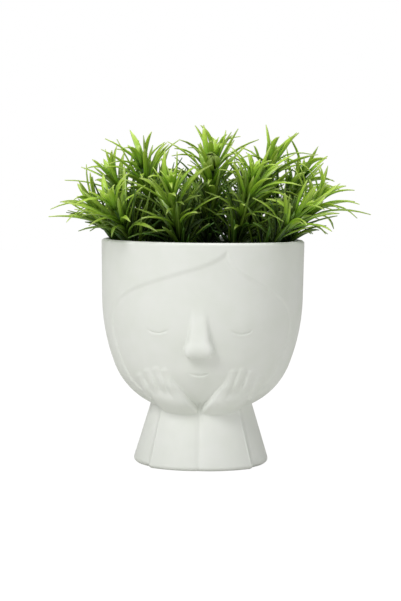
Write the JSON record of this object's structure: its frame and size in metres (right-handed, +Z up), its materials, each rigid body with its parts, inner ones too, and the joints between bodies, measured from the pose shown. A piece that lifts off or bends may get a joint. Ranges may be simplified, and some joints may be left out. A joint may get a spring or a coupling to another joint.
{
  "type": "head planter",
  "caption": "Ceramic head-shaped planter with a sleeping face and hands on its cheeks, a lift-out plastic liner and artificial leafy sprigs in foam.",
  "frame": {"origin": "middle of the flat foot the planter stands on", "axes": "+Z up the pot to its rim and the plant; the face looks along -Y; +X is to the right of someone facing the face"},
  "size_m": [0.1894, 0.1639, 0.213],
  "materials": {
    "pot_ceramic": "matte",
    "liner_plastic": "satin",
    "foam": "matte",
    "stem_plastic": "satin",
    "leaf_plastic": "satin"
  },
  "bodies": {
    "pot": {"head_pot": "pot_ceramic"},
    "plant": {"liner_pot": "liner_plastic", "foam_block": "foam", "sprig_01_stem": "stem_plastic", "sprig_02_stem": "stem_plastic", "sprig_03_stem": "stem_plastic", "sprig_04_stem": "stem_plastic", "sprig_05_stem": "stem_plastic", "sprig_06_stem": "stem_plastic", "sprig_07_stem": "stem_plastic", "sprig_08_stem": "stem_plastic", "sprig_09_stem": "stem_plastic", "sprig_10_stem": "stem_plastic", "sprig_11_stem": "stem_plastic", "sprig_12_stem": "stem_plastic", "sprig_13_stem": "stem_plastic", "sprig_14_stem": "stem_plastic", "sprig_15_stem": "stem_plastic", "sprig_01_leaves": "leaf_plastic", "sprig_02_leaves": "leaf_plastic", "sprig_03_leaves": "leaf_plastic", "sprig_04_leaves": "leaf_plastic", "sprig_05_leaves": "leaf_plastic", "sprig_06_leaves": "leaf_plastic", "sprig_07_leaves": "leaf_plastic", "sprig_08_leaves": "leaf_plastic", "sprig_09_leaves": "leaf_plastic", "sprig_10_leaves": "leaf_plastic", "sprig_11_leaves": "leaf_plastic", "sprig_12_leaves": "leaf_plastic", "sprig_13_leaves": "leaf_plastic", "sprig_14_leaves": "leaf_plastic", "sprig_15_leaves": "leaf_plastic"}
  },
  "joints": [
    {"name": "plant_lift", "type": "slide", "parent": "pot", "child": "plant", "axis": [0, 0, 1], "range_m": [0, 0.15]}
  ]
}
